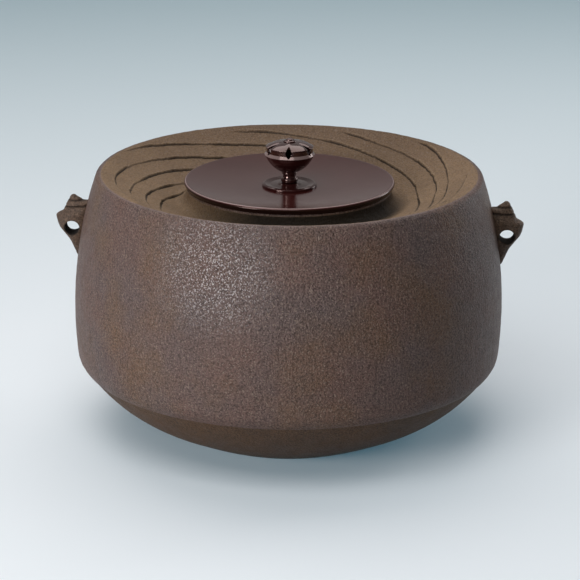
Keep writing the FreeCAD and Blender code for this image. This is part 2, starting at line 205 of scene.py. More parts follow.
def capped(name, points, poles, flipped=False):
    """An object from rings of points, a single point closing it at each end."""
    rings, segments = points.shape[:2]
    total = rings * segments
    caps = cap_faces(0, segments, total, flipped)
    caps += cap_faces(total - segments, segments, total + 1, not flipped)
    faces = ring_faces(rings, segments, False)
    everything = np.concatenate((points.reshape(-1, 3), poles))
    return mesh_object(name, everything, faces[:, ::-1] if flipped else faces, caps)


def outward_of(section, segments):
    """Outward directions of a spun section that runs with its solid on the left."""
    tangent = np.roll(section, -1, axis=0) - np.roll(section, 1, axis=0)
    normal = np.stack((tangent[:, 1], -tangent[:, 0]), axis=-1)
    normal /= np.linalg.norm(normal, axis=-1, keepdims=True) + 1e-12
    angles = np.arange(segments) * TURN / segments
    return np.stack((normal[:, :1] * np.cos(angles), normal[:, :1] * np.sin(angles),
                     np.broadcast_to(normal[:, 1:], (len(section), segments))), axis=-1)


def arc(start, end, radius, left, spacing):
    """Points along the short arc from start to end, the last left out."""
    start = np.array(start, float)
    end = np.array(end, float)
    chord = end - start
    length = np.hypot(*chord)
    offset = math.sqrt(max(radius ** 2 - (length / 2) ** 2, 0)) * (1 if left else -1)
    centre = (start + end) / 2 + np.array((-chord[1], chord[0])) / length * offset
    first = math.atan2(*(start - centre)[::-1])
    sweep = 2 * math.asin(min(length / 2 / radius, 1)) * (1 if left else -1)
    count = max(int(abs(sweep) * radius / spacing), 2)
    angles = first + sweep * np.arange(count) / count
    return centre + radius * np.stack((np.cos(angles), np.sin(angles)), axis=-1)


def line(start, end, spacing):
    """Points along a straight line from start to end, the last left out."""
    start = np.array(start, float)
    end = np.array(end, float)
    count = max(int(np.hypot(*(end - start)) / spacing), 1)
    return start + (end - start) * (np.arange(count) / count)[:, None]


def rounded(corners, spacing, closed=True):
    """A section through corners (radius, height, rounding), each turned on its own small arc."""
    stretches = []
    count = len(corners)
    ends = []
    for index, (x, y, turn) in enumerate(corners):
        here = np.array((x, y), float)
        before = np.array(corners[index - 1][:2], float)
        after = np.array(corners[(index + 1) % count][:2], float)
        if turn == 0 or (not closed and index in (0, count - 1)):
            ends.append((here, here, None))
            continue
        back = (before - here) / np.linalg.norm(before - here)
        on = (after - here) / np.linalg.norm(after - here)
        half = math.acos(max(-1, min(1, float(back @ on)))) / 2
        room = 0.49 * min(np.linalg.norm(before - here), np.linalg.norm(after - here))
        cut = min(turn / math.tan(half), room)
        left = back[0] * on[1] - back[1] * on[0] < 0
        ends.append((here + back * cut, here + on * cut, (cut * math.tan(half), left)))
    for index in range(count if closed else count - 1):
        begin, finish, bend = ends[index]
        if bend:
            stretches.append(arc(begin, finish, bend[0], bend[1], spacing / 2))
        stretches.append(line(finish, ends[(index + 1) % count][0], spacing))
    if not closed:
        stretches.append(np.array([corners[-1][:2]], float))
    return np.concatenate(stretches)


def applied(piece):
    """The piece with its modifiers made part of its mesh."""
    view = bpy.context.evaluated_depsgraph_get()
    view.update()
    mesh = bpy.data.meshes.new_from_object(piece.evaluated_get(view))
    piece.modifiers.clear()
    piece.data = mesh
    return piece


def cut_by(piece, cutter):
    """Take the cutter's shape out of the piece, and drop the cutter."""
    cut = piece.modifiers.new("cut", "BOOLEAN")
    cut.operation = "DIFFERENCE"
    cut.solver = "EXACT"
    cut.object = cutter
    applied(piece)
    bpy.data.objects.remove(cutter)
    return piece


def wall_radius(height):
    return BODY_RADIUS - BELLY_CURVE + np.sqrt(BELLY_CURVE ** 2 - (height - BELLY_HEIGHT) ** 2)


# Kettle section

CREST_TOP = 160.3 * MM
CREST_CENTRE_HEIGHT = CREST_TOP - CREST_ROUND
CREST_LEAN = math.asin((CREST_CENTRE_HEIGHT - BELLY_HEIGHT) / (BELLY_CURVE - CREST_ROUND))
CREST_CENTRE_RADIUS = BODY_RADIUS - BELLY_CURVE + (BELLY_CURVE - CREST_ROUND) * math.cos(CREST_LEAN)
CREST_OUT = (CREST_CENTRE_RADIUS + CREST_ROUND * math.cos(CREST_LEAN),
             CREST_CENTRE_HEIGHT + CREST_ROUND * math.sin(CREST_LEAN))
CREST_IN = (CREST_CENTRE_RADIUS - CREST_ROUND * math.sin(DISH_SLOPE),
            CREST_CENTRE_HEIGHT + CREST_ROUND * math.cos(DISH_SLOPE))
NECK_FOOT_RADIUS = NECK_RADIUS + NECK_FILLET * (1 + math.sin(DISH_SLOPE))
NECK_FOOT = (NECK_FOOT_RADIUS, CREST_IN[1] - (CREST_IN[0] - NECK_FOOT_RADIUS) * math.tan(DISH_SLOPE))
NECK_TURN = (NECK_RADIUS, NECK_FOOT[1] + NECK_FILLET * math.cos(DISH_SLOPE))
NECK_ROOT = (MOUTH_RADIUS, CREST_IN[1] - (CREST_IN[0] - MOUTH_RADIUS) * math.tan(DISH_SLOPE)
             - WALL / math.cos(DISH_SLOPE))
RIM_HEIGHT = NECK_FOOT[1] + NECK_RISE


def kettle_section():
    """The wall's closed section: outside, crest, dish, neck, mouth and inside."""
    joint_out = (JOINT_RADIUS, JOINT_HEIGHT)
    corner_out = (wall_radius(CORNER_HEIGHT), CORNER_HEIGHT)
    joint_in = (JOINT_RADIUS - WALL, JOINT_HEIGHT)
    corner_in = (corner_out[0] - WALL, CORNER_HEIGHT)
    crest_centre = (CREST_CENTRE_RADIUS, CREST_CENTRE_HEIGHT)
    outside = [
        arc(joint_out, corner_out, CORNER_CURVE, True, 0.6 * MM),
        arc(corner_out, CREST_OUT, BELLY_CURVE, True, 0.9 * MM),
        arc(CREST_OUT, CREST_IN, CREST_ROUND, True, 0.3 * MM),
        line(CREST_IN, NECK_FOOT, 0.24 * MM),
        arc(NECK_FOOT, NECK_TURN, NECK_FILLET, False, 0.4 * MM),
        line(NECK_TURN, (NECK_RADIUS, RIM_HEIGHT - RIM_ROUND), 0.7 * MM),
    ]
    inside = [
        arc((NECK_RADIUS, RIM_HEIGHT - RIM_ROUND), (NECK_RADIUS - RIM_ROUND, RIM_HEIGHT), RIM_ROUND, True,
            0.3 * MM),
        line((NECK_RADIUS - RIM_ROUND, RIM_HEIGHT), (MOUTH_RADIUS + RIM_ROUND, RIM_HEIGHT), 0.8 * MM),
        arc((MOUTH_RADIUS + RIM_ROUND, RIM_HEIGHT), (MOUTH_RADIUS, RIM_HEIGHT - RIM_ROUND), RIM_ROUND, True,
            0.3 * MM),
        line((MOUTH_RADIUS, RIM_HEIGHT - RIM_ROUND), NECK_ROOT, 1.2 * MM),
        line(NECK_ROOT, crest_centre, 2 * MM),
        arc(crest_centre, corner_in, BELLY_CURVE - WALL, False, 3 * MM),
        arc(corner_in, joint_in, CORNER_CURVE - WALL, False, 2 * MM),
        line(joint_in, joint_out, 1.5 * MM),
    ]
    return np.concatenate(outside + inside), sum(len(stretch) for stretch in outside)


# Ripples pressed into the dish. Each line is a list of (azimuth in degrees, place across the dish
# from the neck to the crest): the ground rises at the line and runs out towards the crest.

RIPPLES = {
    "back_left_outer": [(161, 1.00), (153, 0.96), (142, 0.86), (124, 0.70), (102, 0.57), (84, 0.53)],
    "back_left_inner": [(95, 0.12), (124, 0.39), (141, 0.55), (164, 0.74), (178, 0.81), (196, 0.86),
                        (210, 0.90), (222, 0.97)],
    "left_outer": [(118, 0.06), (143, 0.29), (156, 0.40), (169, 0.48), (182, 0.57), (193, 0.65), (203, 0.73),
                   (214, 0.82), (224, 0.93)],
    "left_middle": [(146, 0.02), (157, 0.12), (170, 0.22), (182, 0.33), (194, 0.44), (204, 0.54), (215, 0.68),
                    (226, 0.90)],
    "left_inner": [(158, -0.08), (170, -0.01), (181, 0.10), (193, 0.23), (204, 0.34), (216, 0.52),
                   (228, 0.80)],
    "back": [(115, 0.91), (102, 0.86), (89, 0.77), (76, 0.67), (58, 0.51), (44, 0.40), (30, 0.33), (16, 0.28),
             (0, 0.25), (-14, 0.32), (-28, 0.46), (-40, 0.68), (-50, 0.90)],
    "right_inner": [(78, 0.94), (67, 0.83), (58, 0.75), (46, 0.68), (27, 0.58), (14, 0.52), (0, 0.49),
                    (-14, 0.51), (-28, 0.66), (-42, 0.92)],
    "right_middle": [(48, 0.98), (38, 0.92), (28, 0.82), (17, 0.72), (7, 0.66), (-8, 0.64), (-20, 0.70),
                     (-32, 0.83), (-42, 0.98)],
    "right_outer": [(8, 0.92), (-2, 0.86), (-14, 0.84), (-24, 0.88), (-38, 0.99)],
}
RIPPLE_INNER = NECK_RADIUS + 4.15 * MM
RIPPLE_RISE = 1.3 * MM
RIPPLE_RUN = 12 * MM
RIPPLE_EDGE = 0.35 * MM
RIPPLE_FADE = 7
CREASE_PLACE = 0.26 * MM
CREASE_WIDTH = 0.32 * MM
EDGE_PLACE = 0.7 * MM
EDGE_WIDTH = 0.45 * MM


def smooth_curve(places, known, values):
    """A smooth curve through known points, its slope at each point that of its neighbours."""
    order = np.argsort(known)
    known = np.asarray(known, float)[order]
    values = np.asarray(values, float)[order]
    slopes = np.gradient(values, known)
    index = np.clip(np.searchsorted(known, places) - 1, 0, len(known) - 2)
    span = known[index + 1] - known[index]
    t = np.clip((places - known[index]) / span, 0, 1)
    low, high = values[index], values[index + 1]
    return ((2 * t ** 3 - 3 * t ** 2 + 1) * low + (t ** 3 - 2 * t ** 2 + t) * span * slopes[index]
            + (3 * t ** 2 - 2 * t ** 3) * high + (t ** 3 - t ** 2) * span * slopes[index + 1])


def ripple_height(points):
    """How far the ground stands above the plain dish, how deep it lies in a crease, and how near an edge."""
    azimuth = np.degrees(np.arctan2(points[..., 1], points[..., 0]))
    radius = np.hypot(points[..., 0], points[..., 1])
    rise = np.zeros(radius.shape)
    crease = np.zeros(radius.shape)
    edge = np.zeros(radius.shape)
    chipped = np.clip((noise(points, 2.4 * MM, 13) - 0.25) / 0.3, 0, 1) * 0.25 * MM
    wobble = noise(points, 5 * MM, 11) * 0.3 * MM + noise(points, 1.5 * MM, 12) * 0.18 * MM - chipped
    # The creases widen towards the front, both the carved groove and the painted shade in it.
    spread = 1 + np.where(points[..., 0] > 0, 5.0, 1.5) * np.clip(-points[..., 1] / radius, 0, 1)
    for number, line_points in enumerate(RIPPLES.values()):
        angles, shares = zip(*line_points)
        low, high = min(angles), max(angles)
        middle = (low + high) / 2
        turned = (azimuth - middle + 180) % 360 - 180 + middle
        share = smooth_curve(turned, angles, shares)
        start = RIPPLE_INNER + share * (CREST_IN[0] - RIPPLE_INNER)
        past = radius - start + wobble
        inside = np.clip(np.minimum(turned - low, high - turned) / RIPPLE_FADE, 0, 1)
        strength = inside * inside * (3 - 2 * inside)
        strength = strength * (0.85 + 0.4 * noise(points, 12 * MM, 20 + number))
        step = np.clip(past / RIPPLE_EDGE + 0.5, 0, 1)
        run = np.clip(1 - past / RIPPLE_RUN, 0, 1)
        rise += strength * RIPPLE_RISE * step * run
        crease += strength * np.exp(-((past + CREASE_PLACE) / (CREASE_WIDTH * spread)) ** 2)
        edge += strength * np.exp(-((past - EDGE_PLACE) / EDGE_WIDTH) ** 2)
    return rise, np.clip(crease, 0, 1), np.clip(edge, 0, 1)


WALL_SEGMENTS = 1100
# The direction towards the front, where the painted shadow under the lid is strongest.
TO_FRONT = (0.42, -0.91)


def make_wall():
    """The wall: section turned, ripples raised on the dish, and the cast skin's unevenness."""
    section, outside_count = kettle_section()
    points = spun(section, WALL_SEGMENTS)
    radius = np.hypot(points[..., 0], points[..., 1])
    dish_line = CREST_IN[1] - (CREST_IN[0] - radius) * math.tan(DISH_SLOPE)
    on_outside = (np.arange(len(section)) < outside_count)[:, None]
    near_dish = on_outside & (radius > NECK_RADIUS + 0.5 * MM) & (radius < CREST_CENTRE_RADIUS)
    near_dish = near_dish & (np.abs(points[..., 2] - dish_line) < 2 * MM)
    rise, crease, edge = ripple_height(points)
    fade = np.clip((CREST_CENTRE_RADIUS - radius) / (3 * MM), 0, 1) * near_dish
    points[..., 2] += (rise - crease * 0.3 * MM) * fade
    outward = outward_of(section, WALL_SEGMENTS)
    swell = noise(points, 38 * MM, 1) * 0.12 + noise(points, 11 * MM, 2) * 0.07
    skin = noise(points, 3.4 * MM, 3) * 0.06 + noise(points, 1.9 * MM, 4) * 0.05
    drag = noise(points, (2.2 * MM, 2.2 * MM, 26 * MM), 5) * 0.05
    depth = (swell + skin + drag) * MM * on_outside
    joint_fade = np.clip((points[..., 2] - JOINT_HEIGHT) / (2 * MM), 0, 1)
    rim_fade = np.clip(np.abs(points[..., 2] - RIM_HEIGHT) / (1 * MM), 0, 1)
    points += outward * (depth * joint_fade * rim_fade)[..., None]
    wall = mesh_object("kettle_wall", points, ring_faces(len(section), WALL_SEGMENTS, True))
    in_dish = on_outside & (radius < CREST_CENTRE_RADIUS)
    to_front = (TO_FRONT[0] * points[..., 0] + TO_FRONT[1] * points[..., 1]) / radius
    # Painted shadow of the lid over the neck and the dish's inner edge, strongest towards the front.
    neck = np.clip((NECK_FOOT_RADIUS + 3 * MM - radius) / (7 * MM), 0, 1) * in_dish
    neck = neck * np.clip(to_front * 1.3, 0, 1)
    # A painted highlight along the top of the crest, strongest towards the front.
    crest = np.exp(-((radius - CREST_CENTRE_RADIUS - 0.3 * MM) / (0.8 * MM)) ** 2)
    crest = crest * (points[..., 2] > CREST_CENTRE_HEIGHT) * np.clip(0.35 - points[..., 1] / radius, 0, 1)
    crest = crest * (0.7 + 0.3 * noise(points, 8 * MM, 14))
    label_points(wall.data, crease=crease * fade, edge=edge * fade, dish=in_dish * 1.0, neck=neck,
                 crest=crest)
    return wall


BOTTOM_SEGMENTS = 720
BOTTOM_OUTSIDE = 0.62  # the share of the section that surely holds all of its outside
BOTTOM_ROUGH_FROM = 60 * MM


def make_bottom():
    """The round bottom with its collar, a single point closing it at the middle of each face."""
    joint = (JOINT_RADIUS - JOINT_STEP, JOINT_HEIGHT)
    inner_joint = (COLLAR_OUTER - COLLAR_WALL, JOINT_HEIGHT - COLLAR_WALL)
    inner_turn = (BOTTOM_TURN[0] - WALL / 2, BOTTOM_TURN[1] + WALL)
    section = np.concatenate([
        line((1 * MM, 0), (FOOT_RADIUS, 0), 2.5 * MM),
        arc((FOOT_RADIUS, 0), BOTTOM_TURN, FLANK_CURVE, True, 1 * MM),
        arc(BOTTOM_TURN, joint, BOTTOM_CURVE, True, 0.9 * MM),
        line(joint, (COLLAR_OUTER, JOINT_HEIGHT), 1 * MM),
        line((COLLAR_OUTER, JOINT_HEIGHT), (COLLAR_OUTER, COLLAR_TOP), 1.5 * MM),
        line((COLLAR_OUTER, COLLAR_TOP), (COLLAR_OUTER - COLLAR_WALL, COLLAR_TOP), 1 * MM),
        line((COLLAR_OUTER - COLLAR_WALL, COLLAR_TOP), inner_joint, 1.5 * MM),
        arc(inner_joint, inner_turn, BOTTOM_CURVE - WALL, False, 2 * MM),
        line(inner_turn, (FOOT_RADIUS - WALL / 2, WALL), 2 * MM),
        line((FOOT_RADIUS - WALL / 2, WALL), (1 * MM, WALL), 3 * MM),
        [(1 * MM, WALL)],
    ])
    points = spun(section, BOTTOM_SEGMENTS)
    height = points[..., 2]
    radius = np.hypot(points[..., 0], points[..., 1])
    outside = (np.arange(len(section)) < len(section) * BOTTOM_OUTSIDE)[:, None]
    outside = outside & (height < JOINT_HEIGHT - 0.1 * MM) & (radius > BOTTOM_ROUGH_FROM)
    skin = noise(points, 24 * MM, 31) * 0.09 + noise(points, 3.2 * MM, 32) * 0.035
    skin += noise(points, 1.8 * MM, 33) * 0.03
    fade = np.clip(height / (3 * MM), 0, 1) * np.clip((JOINT_HEIGHT - height) / (1.5 * MM), 0, 1)
    points += outward_of(section, BOTTOM_SEGMENTS) * (skin * MM * fade * outside)[..., None]
    return capped("kettle_bottom", points, [(0, 0, 0), (0, 0, WALL)])


# Lid

LID_EDGE = 3.9 * MM
LID_DIP = 3.7 * MM
LID_CURVE = 290 * MM
LID_ROUND = 0.8 * MM
LID_ROLL = 1.3 * MM
LID_UNDERCUT = 0.8 * MM
LID_TOP = RIM_HEIGHT + LID_EDGE
LID_UNDER = LID_TOP - LID_DIP - 2.5 * MM
SPIGOT_RADIUS = MOUTH_RADIUS - 0.6 * MM
SPIGOT_WALL = 2.4 * MM
SPIGOT_DROP = 5 * MM
BORE_RADIUS = 2.55 * MM
PLATE_SEGMENTS = 360


def make_lid():
    """The dished plate, its edge softly rolled, with the ring below that drops into the mouth."""
    spigot_foot = RIM_HEIGHT - SPIGOT_DROP
    inner = SPIGOT_RADIUS - SPIGOT_WALL
    face_foot = LID_RADIUS - LID_UNDERCUT
    section = np.concatenate([
        line((BORE_RADIUS, LID_UNDER), (SEAT_RADIUS, LID_UNDER), 2 * MM),
        arc((SEAT_RADIUS, LID_UNDER), (inner, RIM_HEIGHT), LID_CURVE, True, 2 * MM),
        line((inner, RIM_HEIGHT), (inner, spigot_foot + 0.4 * MM), 1 * MM),
        arc((inner, spigot_foot + 0.4 * MM), (inner + 0.4 * MM, spigot_foot), 0.4 * MM, True, 0.15 * MM),
        line((inner + 0.4 * MM, spigot_foot), (SPIGOT_RADIUS - LID_ROUND, spigot_foot), 0.8 * MM),
        arc((SPIGOT_RADIUS - LID_ROUND, spigot_foot), (SPIGOT_RADIUS, spigot_foot + LID_ROUND), LID_ROUND,
            True, 0.2 * MM),
        line((SPIGOT_RADIUS, spigot_foot + LID_ROUND), (SPIGOT_RADIUS, RIM_HEIGHT), 1 * MM),
        line((SPIGOT_RADIUS, RIM_HEIGHT), (face_foot - LID_ROUND, RIM_HEIGHT), 1.5 * MM),
        arc((face_foot - LID_ROUND, RIM_HEIGHT), (face_foot, RIM_HEIGHT + LID_ROUND), LID_ROUND, True,
            0.15 * MM),
        line((face_foot, RIM_HEIGHT + LID_ROUND), (LID_RADIUS, LID_TOP - LID_ROLL), 0.5 * MM),
        arc((LID_RADIUS, LID_TOP - LID_ROLL), (LID_RADIUS - LID_ROLL, LID_TOP), LID_ROLL, True, 0.12 * MM),
        arc((LID_RADIUS - LID_ROLL, LID_TOP), (SEAT_RADIUS, LID_LOW), LID_CURVE, False, 1.2 * MM),
        line((SEAT_RADIUS, LID_LOW), (BORE_RADIUS, LID_LOW), 2 * MM),
        line((BORE_RADIUS, LID_LOW), (BORE_RADIUS, LID_UNDER), 1 * MM),
    ])
    points = spun(section, PLATE_SEGMENTS)
    lift = noise(points, 30 * MM, 41) * 0.02
    radius = np.hypot(points[..., 0], points[..., 1])
    on_top = (points[..., 2] > LID_LOW - 0.01 * MM) & (radius > SEAT_RADIUS + 1 * MM)
    on_top = on_top & (radius < LID_RADIUS - 1.5 * MM)
    points[..., 2] += lift * MM * on_top
    lid = mesh_object("lid_dish", points, ring_faces(len(section), PLATE_SEGMENTS, True))
    # Painted shade on the lid's edge face and the underside of its rim.
    below = np.clip((LID_TOP - 0.6 * MM - points[..., 2]) / (0.3 * MM), 0, 1)
    below = below * (radius > LID_RADIUS - 1.8 * MM)
    around = np.arctan2(points[..., 1], points[..., 0])
    # Painted highlight along the top of the lid's rolled edge, strongest towards the front.
    rubbed = np.exp(-((points[..., 2] - LID_TOP + 0.1 * MM) / (0.22 * MM)) ** 2)
    rubbed = rubbed * (radius > LID_RADIUS - 1.1 * MM) * (0.75 + 0.25 * noise(points, 9 * MM, 42))
    rubbed = rubbed * np.clip(0.75 - 0.5 * np.sin(around), 0, 1)
    label_points(lid.data, rim=below, rubbed=rubbed)
    return lid


def make_seat():
    """The saucer under the knob: a rim that rolls off, a shallow hollow, and a boss that carries the stem."""
    section = rounded([
        (BORE_RADIUS, LID_LOW, 0.1 * MM),
        (SEAT_RADIUS, LID_LOW, 0.1 * MM),
        (SEAT_RADIUS - 0.1 * MM, LID_LOW + 1.3 * MM, 0.5 * MM),
        (SEAT_RADIUS - 1.5 * MM, LID_LOW + 1.8 * MM, 1.0 * MM),
        (SEAT_RADIUS - 5.0 * MM, LID_LOW + 1.0 * MM, 4 * MM),
        (7.4 * MM, LID_LOW + 1.3 * MM, 1.5 * MM),
        (6.2 * MM, SEAT_TOP - 0.15 * MM, 0.4 * MM),
        (5.6 * MM, SEAT_TOP, 0.2 * MM),
        (BORE_RADIUS, SEAT_TOP, 0.1 * MM),
    ], 0.3 * MM)
    points = spun(section, PLATE_SEGMENTS)
    return mesh_object("knob_saucer", points, ring_faces(len(section), PLATE_SEGMENTS, True))


# Knob

PETALS = 6
STEM_TOP = KNOB_FOOT + 6.6 * MM
STEM_TOP_RADIUS = 4.4 * MM
BOWL_TOP = STEM_TOP + 12.4 * MM
BROW_TOP = BOWL_TOP + 3.4 * MM
DOME_TOP = BROW_TOP + 2.8 * MM
BOWL_RADIUS = 15.2 * MM
BROW_RADIUS = 14.2 * MM
BAND_FOOT = BOWL_TOP - 2.0 * MM
BAND_FOOT_RADIUS = 14.6 * MM
BAND_TOP = BOWL_TOP + 0.1 * MM
BAND_TOP_RADIUS = 14.0 * MM
KNOB_WALL = 1.5 * MM
BUTTON_RADIUS = 3.9 * MM
PIN_RADIUS = 2.5 * MM
SLOT_LENGTH = 6.2 * MM
SLOT_WIDTH = 3.5 * MM
SLOT_TOP = BROW_TOP + 1.8 * MM
SLOT_REACH = (9 * MM, 18 * MM)
KNOB_SEGMENTS = 480
PIN_SEGMENTS = 160


def lens(length, width, spacing):
    """A closed almond outline of two arcs, its points at top and bottom."""
    radius = (length ** 2 + width ** 2) / (4 * width)
    low = (0, -length / 2)
    high = (0, length / 2)
    return np.concatenate([arc(low, high, radius, True, spacing), arc(high, low, radius, True, spacing)])


def make_knob():
    """The bud: beaded stem, hollow bowl, sharp brow and a dome of shallow petals with six slots."""
    stem = rounded([
        (BORE_RADIUS, KNOB_FOOT, 0),
        (4.3 * MM, KNOB_FOOT, 0.3 * MM),
        (5.1 * MM, KNOB_FOOT + 0.7 * MM, 0.8 * MM),
        (5.1 * MM, KNOB_FOOT + 2.7 * MM, 1.1 * MM),
        (4.1 * MM, KNOB_FOOT + 3.3 * MM, 0.3 * MM),
        (3.9 * MM, KNOB_FOOT + 4.3 * MM, 0.8 * MM),
        (4.0 * MM, KNOB_FOOT + 5.2 * MM, 0.3 * MM),
        (4.65 * MM, KNOB_FOOT + 5.7 * MM, 0.3 * MM),
        (4.65 * MM, KNOB_FOOT + 6.3 * MM, 0.25 * MM),
        (STEM_TOP_RADIUS, STEM_TOP, 0),
    ], 0.3 * MM, closed=False)[:-1]
    brow = rounded([
        (BAND_FOOT_RADIUS, BAND_FOOT, 0),
        (BOWL_RADIUS, BAND_FOOT + 0.5 * MM, 0.25 * MM),
        (BAND_TOP_RADIUS, BAND_TOP, 0.15 * MM),
        (BAND_TOP_RADIUS - 0.1 * MM, BROW_TOP - 0.7 * MM, 0.3 * MM),
        (BROW_RADIUS + 0.1 * MM, BROW_TOP - 0.25 * MM, 0.15 * MM),
        (BROW_RADIUS, BROW_TOP, 0),
    ], 0.15 * MM, closed=False)[:-1]
    brow_inside = (BROW_RADIUS - KNOB_WALL, BROW_TOP - KNOB_WALL / 2)
    bowl_inside = (BOWL_RADIUS - KNOB_WALL, BOWL_TOP)
    section = np.concatenate([
        stem,
        arc((STEM_TOP_RADIUS, STEM_TOP), (BAND_FOOT_RADIUS, BAND_FOOT), 18 * MM, True, 0.3 * MM),
        brow,
        arc((BROW_RADIUS, BROW_TOP), (BUTTON_RADIUS, DOME_TOP), 22 * MM, True, 0.25 * MM),
        line((BUTTON_RADIUS, DOME_TOP), (BORE_RADIUS, DOME_TOP), 0.4 * MM),
        line((BORE_RADIUS, DOME_TOP), (BORE_RADIUS, DOME_TOP - KNOB_WALL), 0.5 * MM),
        arc((BORE_RADIUS, DOME_TOP - KNOB_WALL), brow_inside, 20.5 * MM, False, 0.6 * MM),
        line(brow_inside, bowl_inside, 0.6 * MM),
        arc(bowl_inside, (BORE_RADIUS, STEM_TOP + KNOB_WALL), 16.5 * MM, False, 0.6 * MM),
        line((BORE_RADIUS, STEM_TOP + KNOB_WALL), (BORE_RADIUS, KNOB_FOOT), 0.8 * MM),
    ])
    points = spun(section, KNOB_SEGMENTS)
    radius = np.hypot(points[..., 0], points[..., 1])
    height = points[..., 2]
    angle = np.arctan2(points[..., 1], points[..., 0]) + TURN / 4
    lobe = np.abs(np.cos(angle * PETALS / 2))
    groove = lobe ** 10
    on_dome = (height > BROW_TOP - 0.01 * MM) & (radius > BUTTON_RADIUS - 0.1 * MM)
    on_dome = on_dome & (height > BROW_TOP + (BROW_RADIUS - radius) * 0.1)
    fade = np.clip((radius - BUTTON_RADIUS - 1.2 * MM) / (4 * MM), 0, 1)
    points[..., 2] -= on_dome * fade * groove * 0.55 * MM
    nip = np.exp(-((height - (BROW_TOP - 0.3 * MM)) / (1.6 * MM)) ** 2) * (radius > BROW_RADIUS - 1.4 * MM)
    shrink = 1 - nip * groove * 0.03
    points[..., 0] *= shrink
    points[..., 1] *= shrink
    bud = mesh_object("knob_bud", points, ring_faces(len(section), KNOB_SEGMENTS, True))
    # Painted highlight on the light band below the brow.
    on_band = (points[..., 2] > BAND_FOOT + 0.45 * MM) & (points[..., 2] < BAND_TOP + 0.05 * MM)
    on_band = on_band & (radius > BAND_TOP_RADIUS - 0.3 * MM)
    label_points(bud.data, rubbed=on_band * 0.5)
    return cut_by(bud, slot_cutter())


def slot_cutter():
    """The almond-shaped prisms that cut the slots, one for each petal."""
    outline = lens(SLOT_LENGTH, SLOT_WIDTH, 0.25 * MM)
    upward = outline[:, 1:] * np.array((0, 0, 1))
    centre = np.array((0, 0, SLOT_TOP - SLOT_LENGTH / 2))
    count = len(outline)
    rings = []
    faces = []
    for number in range(PETALS):
        turn = number * TURN / PETALS - TURN / 4
        direction = np.array((math.cos(turn), math.sin(turn), 0))
        across = np.array((-math.sin(turn), math.cos(turn), 0))
        for distance in SLOT_REACH:
            rings.append(centre + direction * distance + outline[:, :1] * across + upward)
        near = 2 * number * count
        far = near + count
        faces += [(near + i, near + (i + 1) % count, far + (i + 1) % count, far + i) for i in range(count)]
        faces += [tuple(range(far - 1, near - 1, -1)), tuple(range(far, far + count))]
    mesh = bpy.data.meshes.new("slots")
    mesh.from_pydata(np.concatenate(rings).tolist(), [], faces)
    return linked("slots", mesh)


def make_pin():
    """The pin: a ringed button on the dome, and the tail spread under the washer."""
    foot = foot_of("knob_pin")
    section = rounded([
        (0.2 * MM, foot, 0),
        (3.4 * MM, foot, 0.9 * MM),
        (4.2 * MM, foot + 1.5 * MM, 0.2 * MM),
        (PIN_RADIUS, foot + 1.5 * MM, 0.1 * MM),
        (PIN_RADIUS, DOME_TOP, 0.05 * MM),
        (BUTTON_RADIUS, DOME_TOP, 0.1 * MM),
        (BUTTON_RADIUS, DOME_TOP + 0.55 * MM, 0.5 * MM),
        (BUTTON_RADIUS - 1.1 * MM, DOME_TOP + 1.15 * MM, 0.45 * MM),
        (2.75 * MM, DOME_TOP + 0.35 * MM, 0.2 * MM),
        (2.3 * MM, DOME_TOP + 0.45 * MM, 0.15 * MM),
        (2.1 * MM, DOME_TOP + 1.45 * MM, 0.6 * MM),
        (1.1 * MM, BUTTON_TOP, 1.4 * MM),
        (0.2 * MM, BUTTON_TOP, 0),
    ], 0.2 * MM, closed=False)
    return capped("knob_rivet", spun(section, PIN_SEGMENTS), [(0, 0, foot), (0, 0, BUTTON_TOP)])


# Lugs: whorled shells. Each row is height up the lug, inner edge, outer edge and half depth, the
# height as a share of the lug's own, the others in millimetres from the middle of the hole.

HOLE_RADIUS = 4.4 * MM
HOLE_HEIGHT = 124 * MM
HOLE_DISTANCE = float(wall_radius(HOLE_HEIGHT)) + 1.6 * MM + HOLE_RADIUS
LUG_ROWS = [
    (0.000, -5.6, -2.8, 1.0),
    (0.040, -6.0, -1.7, 1.9),
    (0.090, -6.4, -0.9, 2.7),
    (0.220, -7.6, 1.1, 4.4),
    (0.290, -8.6, 2.7, 5.3),
    (0.350, -9.1, 4.6, 6.1),
    (0.460, -9.9, 8.0, 7.0),
    (0.530, -10.4, 9.2, 7.2),
    (0.600, -11.0, 9.8, 7.3),
    (0.675, -11.5, 10.1, 7.3),
    (0.705, -11.8, 9.1, 7.0),
    (0.745, -12.0, 6.9, 6.2),
    (0.775, -12.2, 5.3, 5.5),
    (0.835, -12.2, 4.9, 5.2),
    (0.865, -10.0, 4.0, 4.6),
    (0.890, -6.6, 3.4, 4.0),
    (0.925, -4.9, 2.6, 3.4),
    (0.965, -2.9, 1.6, 2.3),
    (0.990, -2.0, 0.7, 1.3),
    (1.000, -1.2, 0.0, 0.5),
]
LUG_RINGS = 160
LUG_SEGMENTS = 96
LUG_HEIGHT = LUG_TOP - LUG_FOOT
LUG_SQUARE = 0.86
LUG_VOXEL = 0.3 * MM
LUG_TILT = 0.16
TILT_SET = 2 * MM
WHORL_START = 0.73
WHORL_PITCH = 0.105
WHORL_CUT = 0.17
LEFT_LUG_LOWER = 0.07


def whorl_depth(steps, angles):
    """How deep the shell's spiral groove is, 0 to 1, at a share of the lug's height and an angle about it."""
    turn = (steps - WHORL_START) / WHORL_PITCH - angles / TURN
    groove = np.exp(-((turn - np.round(turn)) / 0.15) ** 2)
    return groove * np.clip((steps - WHORL_START) / 0.03, 0, 1) * np.clip((1 - steps) / 0.06, 0, 1)


def tilt_end(steps):
    """How much of the shell's tilt is left towards its tip."""
    return np.clip((1.03 - steps) / 0.12, 0, 1)


